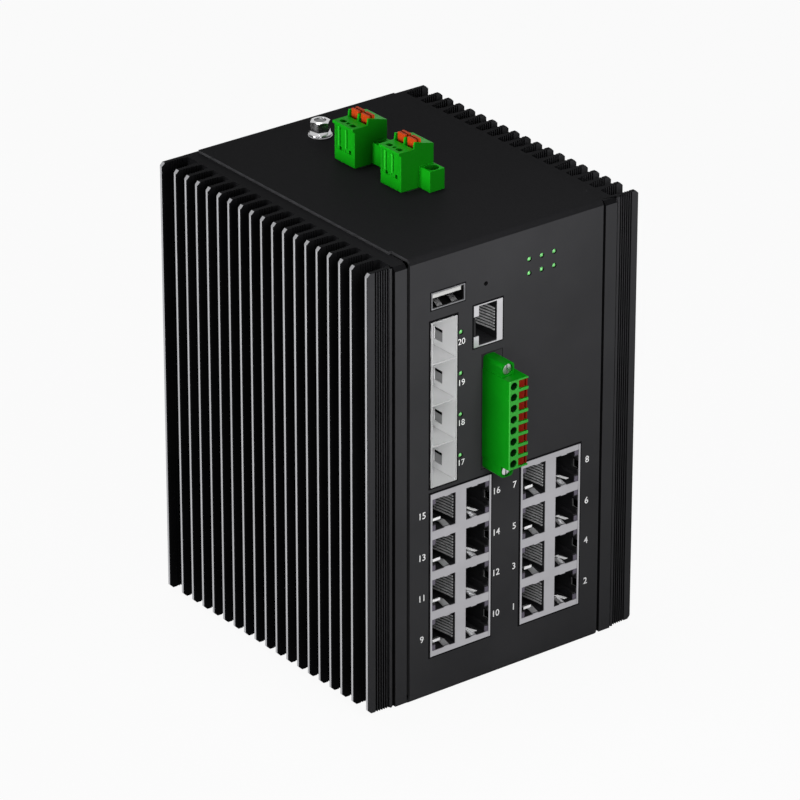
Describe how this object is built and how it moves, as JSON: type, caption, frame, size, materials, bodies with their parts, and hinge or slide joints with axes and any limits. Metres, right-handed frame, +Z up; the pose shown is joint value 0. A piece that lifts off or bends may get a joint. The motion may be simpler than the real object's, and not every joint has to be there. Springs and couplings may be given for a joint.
{
  "type": "managed poe switch",
  "caption": "Upright industrial network switch with finned sides, stacked network sockets, fibre cages, plug-in terminals and a rail clip.",
  "frame": {"origin": "middle of the underside, halfway across the front panel and halfway along the cover's depth", "axes": "+X to the right along the front, +Y back into the case, +Z up; the front with the sockets faces -Y"},
  "size_m": [0.1068, 0.1304, 0.1695],
  "materials": {
    "cover_paint": "fine textured powder coat",
    "panel_paint": "fine textured powder coat",
    "black_anodised": "satin black on extruded aluminium",
    "zinc_plate": "zinc plated",
    "board_laminate": "solder resist",
    "bright_steel": "bright plated sheet",
    "black_plastic": "moulded",
    "white_plastic": "moulded",
    "gold_contact": "gold plated",
    "tin_pin": "tinned",
    "light_pipe": "clear, tinted green",
    "green_plastic": "moulded",
    "orange_plastic": "moulded",
    "heat_metal": "milled",
    "stainless": "bright",
    "spring_wire": "drawn wire"
  },
  "bodies": {
    "case": {"cover_sheet": "cover_paint", "rear_panel": "panel_paint", "heatsink_left": "black_anodised", "heatsink_right": "black_anodised", "case_screws": "zinc_plate", "port_board_left": "board_laminate", "port_board_right": "board_laminate", "board_spacers": "zinc_plate", "board_screws": "zinc_plate", "jack_shell_left": "bright_steel", "jack_shell_right": "bright_steel", "jack_body_left": "black_plastic", "jack_body_right": "black_plastic", "jack_contacts_left": "gold_contact", "jack_contacts_right": "gold_contact", "jack_lights": "light_pipe", "console_shell": "bright_steel", "console_body": "black_plastic", "console_contacts": "gold_contact", "usb_shell": "bright_steel", "usb_tongue": "white_plastic", "sfp_cage": "bright_steel", "sfp_fingers": "bright_steel", "sfp_sockets": "black_plastic", "status_lights": "light_pipe", "link_lights": "light_pipe", "reset_switch": "black_plastic", "signal_header": "black_plastic", "signal_pins": "tin_pin", "signal_plug": "green_plastic", "signal_screws": "zinc_plate", "power_headers": "black_plastic", "power_pins": "tin_pin", "power_plug_1": "green_plastic", "power_plug_2": "green_plastic", "io_board": "board_laminate", "power_board": "board_laminate", "power_hangers": "zinc_plate", "power_parts": "black_plastic", "switch_chips": "black_plastic", "heat_blocks": "heat_metal", "ground_screw": "stainless", "ground_washer": "stainless", "din_clip": "black_plastic", "din_spring": "spring_wire"},
    "signal_lever_1": {"signal_lever_1": "orange_plastic"},
    "signal_lever_2": {"signal_lever_2": "orange_plastic"},
    "signal_lever_3": {"signal_lever_3": "orange_plastic"},
    "signal_lever_4": {"signal_lever_4": "orange_plastic"},
    "signal_lever_5": {"signal_lever_5": "orange_plastic"},
    "signal_lever_6": {"signal_lever_6": "orange_plastic"},
    "signal_lever_7": {"signal_lever_7": "orange_plastic"},
    "signal_lever_8": {"signal_lever_8": "orange_plastic"},
    "power_lever_1_1": {"power_lever_1_1": "orange_plastic"},
    "power_lever_1_2": {"power_lever_1_2": "orange_plastic"},
    "power_lever_2_1": {"power_lever_2_1": "orange_plastic"},
    "power_lever_2_2": {"power_lever_2_2": "orange_plastic"},
    "reset_button": {"reset_button": "black_plastic"},
    "din_latch": {"din_latch": "zinc_plate"}
  },
  "joints": [
    {"name": "signal_lever_1_press", "type": "slide", "parent": "case", "child": "signal_lever_1", "axis": [0, 1, 0], "range_m": [0, 0.0015], "stiffness_N_per_m": 800, "springref_m": -0.001},
    {"name": "signal_lever_2_press", "type": "slide", "parent": "case", "child": "signal_lever_2", "axis": [0, 1, 0], "range_m": [0, 0.0015], "stiffness_N_per_m": 800, "springref_m": -0.001},
    {"name": "signal_lever_3_press", "type": "slide", "parent": "case", "child": "signal_lever_3", "axis": [0, 1, 0], "range_m": [0, 0.0015], "stiffness_N_per_m": 800, "springref_m": -0.001},
    {"name": "signal_lever_4_press", "type": "slide", "parent": "case", "child": "signal_lever_4", "axis": [0, 1, 0], "range_m": [0, 0.0015], "stiffness_N_per_m": 800, "springref_m": -0.001},
    {"name": "signal_lever_5_press", "type": "slide", "parent": "case", "child": "signal_lever_5", "axis": [0, 1, 0], "range_m": [0, 0.0015], "stiffness_N_per_m": 800, "springref_m": -0.001},
    {"name": "signal_lever_6_press", "type": "slide", "parent": "case", "child": "signal_lever_6", "axis": [0, 1, 0], "range_m": [0, 0.0015], "stiffness_N_per_m": 800, "springref_m": -0.001},
    {"name": "signal_lever_7_press", "type": "slide", "parent": "case", "child": "signal_lever_7", "axis": [0, 1, 0], "range_m": [0, 0.0015], "stiffness_N_per_m": 800, "springref_m": -0.001},
    {"name": "signal_lever_8_press", "type": "slide", "parent": "case", "child": "signal_lever_8", "axis": [0, 1, 0], "range_m": [0, 0.0015], "stiffness_N_per_m": 800, "springref_m": -0.001},
    {"name": "power_lever_1_1_press", "type": "slide", "parent": "case", "child": "power_lever_1_1", "axis": [0, 0, -1], "range_m": [0, 0.0015], "stiffness_N_per_m": 800, "springref_m": -0.001},
    {"name": "power_lever_1_2_press", "type": "slide", "parent": "case", "child": "power_lever_1_2", "axis": [0, 0, -1], "range_m": [0, 0.0015], "stiffness_N_per_m": 800, "springref_m": -0.001},
    {"name": "power_lever_2_1_press", "type": "slide", "parent": "case", "child": "power_lever_2_1", "axis": [0, 0, -1], "range_m": [0, 0.0015], "stiffness_N_per_m": 800, "springref_m": -0.001},
    {"name": "power_lever_2_2_press", "type": "slide", "parent": "case", "child": "power_lever_2_2", "axis": [0, 0, -1], "range_m": [0, 0.0015], "stiffness_N_per_m": 800, "springref_m": -0.001},
    {"name": "reset_press", "type": "slide", "parent": "case", "child": "reset_button", "axis": [0, 1, 0], "range_m": [0, 0.0003], "stiffness_N_per_m": 1500, "springref_m": -0.0003},
    {"name": "latch_slide", "type": "slide", "parent": "case", "child": "din_latch", "axis": [0, 0, -1], "range_m": [0, 0.004], "stiffness_N_per_m": 1200, "springref_m": -0.003, "deforming": ["din_spring"]}
  ]
}
